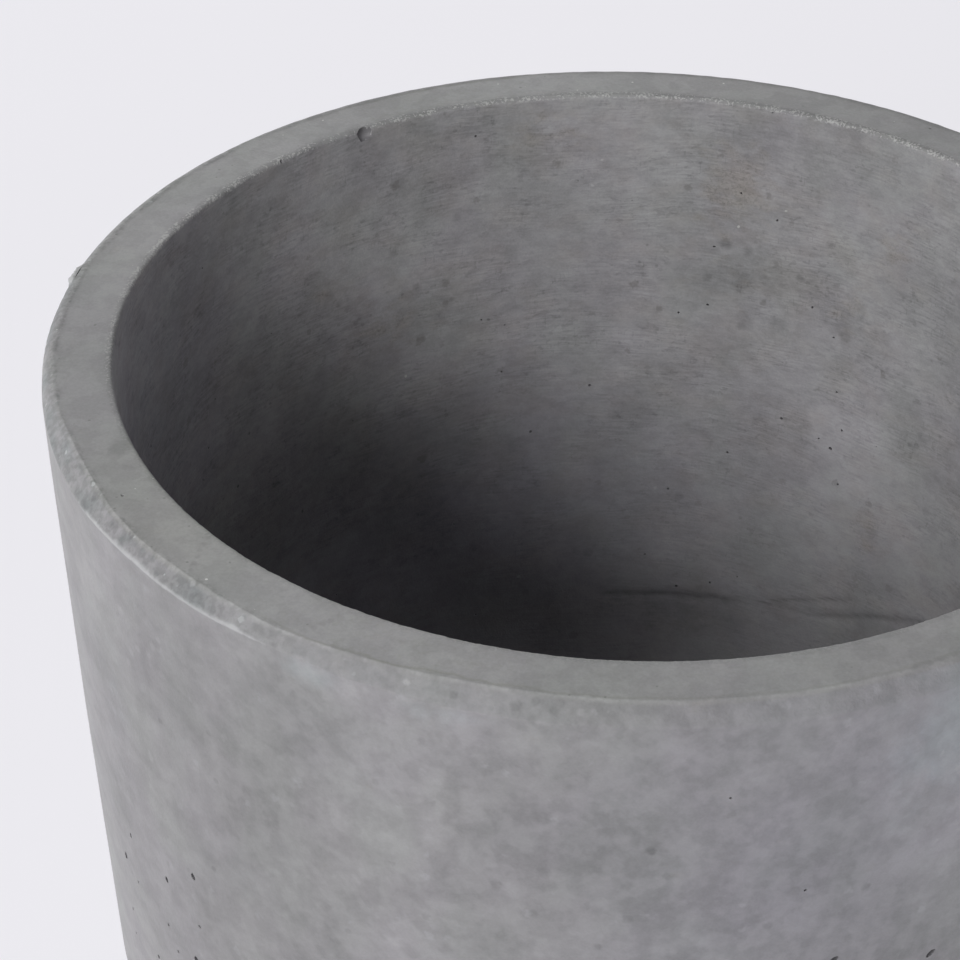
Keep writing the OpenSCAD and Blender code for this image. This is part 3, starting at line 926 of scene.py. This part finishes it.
def makeConcrete():
    # Concrete of cement and fine sand, cast against an oiled form: a tight grey skin, clouded and
    # mottled where the form was oiled unevenly. It is matt, with a weak sheen only at low angles.
    look = concrete
    material, tree = newMaterial("concrete_cast_fine_sand")
    place = addNode(tree, "TexCoord", out="Object")
    parts = addNode(tree, "SeparateXYZ", (place,), None)
    names = ("arris", "innerEdge", "chalkAndHighlight", "fold", "hole", *patches)
    zone = {name: addNode(tree, "Attribute", out="Fac", attribute_name=name) for name in names}
    along = {}
    for name, (axis, start, end, low, high) in look["slopes"].items():
        along[name] = addNode(tree, "MapRange", (parts[axis], start * mm, end * mm, low, high))

    # the sides: outer wall, inner wall and the flat of the rim
    level = addNode(tree, "VectorMath", (place, (1, 1, 0)), operation="MULTIPLY")
    radius = addNode(tree, "VectorMath", (level,), "Value", operation="LENGTH")
    lean, corner = division["cornerSlope"], division["cornerRadius"]
    corner -= division["cornerHeight"] * lean
    divide = addNode(tree, "Math", (parts["Z"], lean, corner), operation="MULTIPLY_ADD")
    divide = addNode(tree, "Math", (divide, division["wall"]), operation="MINIMUM")
    within = addNode(tree, "Math", (radius, divide), operation="LESS_THAN")
    walls = addNode(tree, "Math", (1.0, along["flat"]), operation="SUBTRACT")
    inside = addNode(tree, "Math", (within, walls), operation="MULTIPLY")
    outside = addNode(tree, "Math", (walls, inside), operation="SUBTRACT")
    broad = addNode(tree, "Math", (1.3, along["calm"]), operation="SUBTRACT")
    sides = {"inside": inside, "outside": outside, "flat": along["flat"], "all": 1.0}
    sides["front"] = addNode(tree, "Math", (outside, along["calm"]), operation="MULTIPLY")
    sides["left"] = addNode(tree, "Math", (outside, broad), operation="MULTIPLY")

    # the cloudy fields. The streaks of the inside wander a little up and down
    wander = addNode(tree, "TexNoise", {"Vector": place, "Scale": 1 / (45 * mm), "Detail": 0})
    lift = addNode(tree, "Math", (wander, 7 * mm, -3.5 * mm), operation="MULTIPLY_ADD")
    lift = addNode(tree, "CombineXYZ", {2: lift})
    combed = addNode(tree, "VectorMath", (place, lift), operation="ADD")
    field = {}
    for seed, (name, (across, up, detail)) in enumerate(look["fields"].items()):
        inputs = {"Vector": combed if name in look["combed"] else place,
                  "Location": (seed * 3.1, seed * 5.7, seed), "Rotation": (0.5, 0.35, 0.2),
                  "Scale": (1 / (across * mm), 1 / (across * mm), 1 / (up * mm))}
        scaled = addNode(tree, "Mapping", inputs)
        inputs = {"Vector": scaled, "Scale": 1.0, "Detail": detail, "Roughness": 0.55}
        field[name] = addNode(tree, "TexNoise", inputs)
    shown = {}
    for table, blend in (("levels", "SMOOTHSTEP"), ("plainLevels", "LINEAR")):
        for name, levels in look[table].items():
            shown[name] = addNode(tree, "MapRange", (field[name], *levels), interpolation_type=blend)
    sides["inside"] = addNode(tree, "Math", (inside, along["calmer"]), operation="MULTIPLY")
    sides["combed"] = addNode(tree, "Math", (sides["inside"], shown["come"]), operation="MULTIPLY")
    tone = 1.0
    for name, (low, high, below, above, side) in look["patterns"].items():
        levels = (field[name], low, high, below, above)
        change = addNode(tree, "MapRange", levels, interpolation_type="SMOOTHSTEP")
        tone = addNode(tree, "Math", (change, sides[side], tone), operation="MULTIPLY_ADD")

    # worn outer arris, lumpy at the left and hardly seen on the right, and a broken olive line at its top.
    # Painted shade darkens it down its slope, which faces the key light
    ragged = addNode(tree, "Math", (field["ragged"], 0.8, -0.4), operation="MULTIPLY_ADD")
    worn = addNode(tree, "Math", (ragged, zone["arris"]), operation="ADD")
    starts = addNode(tree, "MapRange", (worn, 0.0, 0.3))
    ends = addNode(tree, "MapRange", (worn, 0.5, 0.95))
    seamLine = addNode(tree, "Math", (starts, ends), operation="SUBTRACT")
    for factor in (along["front"], along["fades"], along["above"]):
        seamLine = addNode(tree, "Math", (seamLine, factor), operation="MULTIPLY")
    arris = addNode(tree, "MapRange", (worn, 0.28, 0.8), interpolation_type="SMOOTHSTEP")
    for factor in (along["fades"], along["plainer"]):
        arris = addNode(tree, "Math", (arris, factor), operation="MULTIPLY")
    tone = addNode(tree, "Math", (shown["lumps"], arris, tone), operation="MULTIPLY_ADD")
    sides["arris"] = arris
    # painted shade down the arris's slope, which the key light lights more than the flat
    for factor in (along["under"], shown["drift"]):
        arris = addNode(tree, "Math", (arris, factor), operation="MULTIPLY")
    tone = addNode(tree, "Math", (arris, along["darker"], tone), operation="MULTIPLY_ADD")

    # crumbs on the inner edge, mostly at the back, with a painted highlight along that edge; chalk on the lip,
    # with a painted highlight along it
    # the crumbs along the inner edge are partly a painted highlight at the back
    crumbAndHighlight = addNode(tree, "Math", (field["crumbs"], shown["crumbRuns"]), operation="MULTIPLY")
    crumbAndHighlight = addNode(tree, "MapRange", (crumbAndHighlight, 0.52, 0.59), interpolation_type="SMOOTHSTEP")
    for factor in (along["back"], zone["innerEdge"]):
        crumbAndHighlight = addNode(tree, "Math", (crumbAndHighlight, factor), operation="MULTIPLY")
    # chalk on the lip and the flake; on the lip it is also a painted highlight
    chalkAndHighlight = addNode(tree, "Math", (ragged, zone["chalkAndHighlight"]), operation="ADD")
    chalkAndHighlight = addNode(tree, "MapRange", (chalkAndHighlight, 0.1, 0.9, 0.0, 0.5), interpolation_type="SMOOTHSTEP")

    # patches, with edges that a field breaks up
    stain = addNode(tree, "Math", (field["stainEdge"], 1.6, zone["stain"]), operation="MULTIPLY_ADD")
    stain = addNode(tree, "MapRange", (stain, 1.0, 1.65), interpolation_type="SMOOTHSTEP")
    # the blooms are partly lime and partly a painted highlight at the front right
    bloom = addNode(tree, "Math", (field["bloomEdge"], 1.2, zone["bloom"]), operation="MULTIPLY_ADD")
    bloom = addNode(tree, "MapRange", (bloom, 0.75, 1.6), interpolation_type="SMOOTHSTEP")
    # the shading patches paint light and shade into the tone, with some uneven tone of the cement
    changes = ((stain, shown["stainSpecks"]), (bloom, 0.18), (zone["paintedShadingAndTone"], 1.0), (zone["fold"], -0.32))
    # the folds' darkening is painted shade in and below the creases, with some dirt
    for mask, change in changes:
        tone = addNode(tree, "Math", (mask, change, tone), operation="MULTIPLY_ADD")

    # the spots as they are seen, with uneven outlines
    shiver = addNode(tree, "TexNoise", {"Vector": place, "Scale": 1 / (1.6 * mm), "Detail": 1}, "Color")
    shaken = addNode(tree, "VectorMath", (shiver, (1.1 * mm,) * 3, place), operation="MULTIPLY_ADD")
    shaken = addNode(tree, "VectorMath", (shaken, (0.55 * mm,) * 3), operation="SUBTRACT")
    spots = [(side, *spot) for side, seen in seenSpots.items() for spot in seen]
    for side, azimuth, below, size, change in spots:
        spot = spotPlace(side, azimuth, below)
        away = addNode(tree, "VectorMath", (shaken, spot), "Value", operation="DISTANCE")
        change *= look["spotChange"]
        near = addNode(tree, "MapRange", (away, size * 1.5 * mm, size * 0.7 * mm, 0.0, change))
        tone = addNode(tree, "Math", (tone, near), operation="ADD")

    # hue: the sides, the tints over them, and the worn arris
    brown = addNode(tree, "Math", (shown["brown"], inside), operation="MULTIPLY")
    colour = linear(look["outside"])
    coats = [("inside", inside, "MIX"), ("flatTop", along["flat"], "MIX")]
    coats += [("lavender", shown["lavender"], "MULTIPLY"), ("green", shown["green"], "MULTIPLY")]
    coats += [("brown", brown, "MULTIPLY"), ("stain", stain, "MULTIPLY"), ("bloom", bloom, "MULTIPLY")]
    # the bluish cast is partly painted shade: the blue of the shadow inside
    coats += [("coolCastAndShadeBlue", zone["coolCastAndShadeBlue"], "MULTIPLY"), ("olive", zone["olive"], "MULTIPLY")]
    coats += [("seamLine", seamLine, "MIX"), ("rubbed", arris, "MIX")]
    for name, mask, blend in coats:
        inputs = {0: mask, 6: colour, 7: linear(look[name])}
        colour = addNode(tree, "Mix", inputs, 2, data_type="RGBA", blend_type=blend)
    colour = addNode(tree, "VectorMath", {0: colour, "Scale": tone}, operation="SCALE")

    # spots all over: round, but with ragged edges, and each of another size
    dents = 0.0
    for seed, (name, spot) in enumerate(look["spots"].items()):
        cell, size, soft, share, strength, spotColour, side = spot
        moved = addNode(tree, "VectorMath", (shiver, (size * 1.8 * mm,) * 3, place), operation="MULTIPLY_ADD")
        moved = addNode(tree, "VectorMath", (moved, (seed * 0.37, seed * 0.11, 0)), operation="ADD")
        inputs = {"Vector": moved, "Scale": 1 / (cell * mm), "Randomness": 1.0}
        texture = addNode(tree, "TexVoronoi", inputs, None)
        pick = addNode(tree, "SeparateColor", (texture["Color"],), None)
        reach = addNode(tree, "Math", (pick[1], size / cell, 0.45 * size / cell), operation="MULTIPLY_ADD")
        reach = addNode(tree, "Math", (reach, texture["Distance"]), operation="SUBTRACT")
        levels = (reach, 0.0, soft / cell, 0.0, strength)
        mask = addNode(tree, "MapRange", levels, interpolation_type="SMOOTHSTEP")
        chosen = addNode(tree, "Math", (pick[0], share), operation="LESS_THAN")
        for factor in (chosen, sides[side]):
            mask = addNode(tree, "Math", (mask, factor), operation="MULTIPLY")
        colour = addNode(tree, "Mix", {0: mask, 6: colour, 7: linear(spotColour)}, 2, data_type="RGBA")
        dents = mask if name == "pinhole" else dents
    hollow = addNode(tree, "Math", (zone["hole"], 0.8), operation="MULTIPLY")
    for name, mask in {"crumbAndHighlight": crumbAndHighlight, "chalkAndHighlight": chalkAndHighlight, "hollow": hollow}.items():
        colour = addNode(tree, "Mix", {0: mask, 6: colour, 7: linear(look[name])}, 2, data_type="RGBA")

    # fine relief, in millimetres
    coarse = addNode(tree, "Math", (zone["arris"], zone["innerEdge"]), operation="MAXIMUM")
    opened = addNode(tree, "Math", (field["fineBumps"], coarse), operation="MULTIPLY")
    combing = addNode(tree, "Math", (field["fibre"], inside), operation="MULTIPLY")
    raised = {"grain": field["grain"], "bumps": field["bumps"], "combing": combing, "opened": opened,
              "dents": dents}
    height = 0.0
    for name, deep in look["relief"].items():
        height = addNode(tree, "Math", (raised[name], deep, height), operation="MULTIPLY_ADD")
    bump = addNode(tree, "Bump", {"Strength": 1.0, "Distance": mm, "Height": height})

    rougher = look["rubbedRoughness"] - look["roughness"]
    uneven = look["unevenGloss"]
    rough = addNode(tree, "Math", (coarse, rougher, look["roughness"] - uneven / 2), operation="MULTIPLY_ADD")
    rough = addNode(tree, "Math", (field["patch"], uneven, rough), operation="MULTIPLY_ADD")
    inputs = {"Base Color": colour, "Roughness": rough, "IOR": look["ior"], "Normal": bump}
    surface = addNode(tree, "BsdfPrincipled", inputs)
    addNode(tree, "OutputMaterial", {"Surface": surface}, None)
    return material


# Sizes in millimetres. The mould's own texture is about 0.1 mm, and is drawn coarser so that it shows
rubber = {
    "stopper": {"colour": "#26272a", "bloom": "#4b4c4f", "roughness": 0.5, "cloud": 14, "grain": 0.5},
    "pad": {"colour": "#2d2d2f", "bloom": "#57565a", "roughness": 0.72, "cloud": 9, "grain": 0.8},
    "texture": 0.05 * mm,      # depth of the mould's texture
}


def makeRubber(name, look):
    # Moulded synthetic rubber: near black, with a grey bloom and the mould's fine texture
    material, tree = newMaterial(name)
    place = addNode(tree, "TexCoord", out="Object")
    cloud = addNode(tree, "TexNoise", {"Vector": place, "Scale": 1 / (look["cloud"] * mm), "Detail": 5})
    dust = addNode(tree, "MapRange", (cloud, 0.42, 0.75, 0.05, 0.6), interpolation_type="SMOOTHSTEP")
    inputs = {0: dust, 6: linear(look["colour"]), 7: linear(look["bloom"])}
    tone = addNode(tree, "Mix", inputs, 2, data_type="RGBA")
    rough = addNode(tree, "Math", (dust, 0.3, look["roughness"]), operation="MULTIPLY_ADD")
    grain = addNode(tree, "TexNoise", {"Vector": place, "Scale": 1 / (look["grain"] * mm), "Detail": 2})
    bump = addNode(tree, "Bump", {"Strength": 1.0, "Distance": rubber["texture"], "Height": grain})
    surface = addNode(tree, "BsdfPrincipled", {"Base Color": tone, "Roughness": rough, "Normal": bump})
    addNode(tree, "OutputMaterial", {"Surface": surface}, None)
    return material


cameraView = {
    "place": (-45.15 * mm, -682.44 * mm, 729.03 * mm),
    "pitch": 35.285,         # degrees below level
    "roll": 0.102,
    "lens": 101.158,
}

# A small softbox at the front left throws the shadow inside. The others are weak: one high at the left,
# a strip low behind the left edge, and two broad ones low at the right and behind
lightsAim = (0, 0, 200 * mm)
studioLights = {
    "key": {"azimuth": -120, "height": 31, "distance": 2.0, "size": 0.6, "power": 26.6},
    "left": {"azimuth": -165, "height": 50, "distance": 2.0, "size": 0.6, "power": 9.4},
    "edge": {"azimuth": 150, "height": 2, "distance": 2.0, "size": 0.8, "power": 26},
    "right": {"azimuth": -38, "height": 8, "distance": 2.0, "size": 1.2, "power": 12.8},
    "back": {"azimuth": 90, "height": 15, "distance": 2.0, "size": 1.2, "power": 11.8},
}
stage = {
    "halfWidth": 6,          # of the floor, in metres
    "paper": "#e4e3e8",
    "background": "#ebeaef",
    "glow": 0.85,            # how much of the background the camera and the gloss see as plain colour
    "glowStrength": 1.035,
    "sky": 0.0,
}


def makeCamera():
    lens = bpy.data.cameras.new("camera")
    lens.sensor_width = 36
    lens.lens = cameraView["lens"]
    lens.clip_start, lens.clip_end = 0.05, 50
    camera = bpy.data.objects.new("camera", lens)
    bpy.context.scene.collection.objects.link(camera)
    tilt = Matrix.Rotation(math.radians(90 - cameraView["pitch"]), 4, "X")
    roll = Matrix.Rotation(math.radians(cameraView["roll"]), 4, "Z")
    camera.matrix_world = Matrix.Translation(cameraView["place"]) @ tilt @ roll
    bpy.context.scene.camera = camera


def makeLights():
    target = Vector(lightsAim)
    for name, item in studioLights.items():
        a, e = math.radians(item["azimuth"]), math.radians(item["height"])
        away = Vector((math.cos(a) * math.cos(e), math.sin(a) * math.cos(e), math.sin(e)))
        lamp = bpy.data.lights.new("light_" + name, "AREA")
        lamp.shape = "SQUARE"
        lamp.size = item["size"]
        lamp.energy = item["power"]
        holder = bpy.data.objects.new("light_" + name, lamp)
        bpy.context.scene.collection.objects.link(holder)
        holder.location = target + away * item["distance"]
        holder.rotation_euler = away.to_track_quat("Z", "Y").to_euler()


def seenDirectly(tree):
    # 1 where the camera, a reflection or clear glass sees the backdrop, 0 where it only gives light
    path = addNode(tree, "LightPath", out=None)
    seen = addNode(tree, "Math", (path["Is Camera Ray"], path["Is Glossy Ray"]), operation="MAXIMUM")
    return addNode(tree, "Math", (seen, path["Is Transmission Ray"]), operation="MAXIMUM")


def makeWorld():
    world = bpy.data.worlds.new("studio")
    bpy.context.scene.world = world
    world.use_nodes = True
    tree = world.node_tree
    tree.nodes.clear()
    strength = addNode(tree, "MapRange", {0: seenDirectly(tree), 3: stage["sky"], 4: 1.0})
    sky = addNode(tree, "Background", (linear(stage["background"]), strength))
    addNode(tree, "OutputWorld", (sky,), None)


def makeFloor():
    bm = bmesh.new()
    bmesh.ops.create_grid(bm, x_segments=2, y_segments=2, size=stage["halfWidth"])
    floor = addObject("floor", bm)
    # pale seamless paper: it keeps the object's shadow, and the rest is seen as one plain colour
    material, tree = newMaterial("paper_seamless")
    place = addNode(tree, "TexCoord", out="Object")
    fibre = addNode(tree, "TexNoise", {"Vector": place, "Scale": 1 / (300 * mm), "Detail": 3})
    inputs = {0: fibre, 6: linear(stage["paper"]), 7: linear(stage["background"])}
    tone = addNode(tree, "Mix", inputs, 2, data_type="RGBA")
    surface = addNode(tree, "BsdfPrincipled", {"Base Color": tone, "Roughness": 0.9})
    glow = addNode(tree, "Emission", (linear(stage["background"]), stage["glowStrength"]))
    share = addNode(tree, "Math", (seenDirectly(tree), stage["glow"]), operation="MULTIPLY")
    mixed = addNode(tree, "MixShader", (share, surface, glow))
    addNode(tree, "OutputMaterial", {"Surface": mixed}, None)
    floor.data.materials.append(material)


makeCamera()
makeLights()
makeWorld()
makeFloor()
print("camera, lights and floor made")

shell = makeShell()
shell.data.materials.clear()
shell.data.materials.append(makeConcrete())
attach(shell, "planter")
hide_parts("planter_shell")
print("cast shell finished:", len(shell.data.vertices), "vertices")

plug = makeStopper()
plug.data.materials.append(makeRubber("rubber_moulded_stopper", rubber["stopper"]))
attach(plug, "stopper")
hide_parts("drain_plug")
padRubber = makeRubber("rubber_moulded_pad", rubber["pad"])
for number in range(1, 5):
    node = "foot_pad_" + str(number)
    piece = makePad(node)
    piece.data.materials.append(padRubber)
    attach(piece, "planter")
    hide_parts(node)
print("stopper and pads made")

bpy.context.scene.view_settings.view_transform = "Standard"
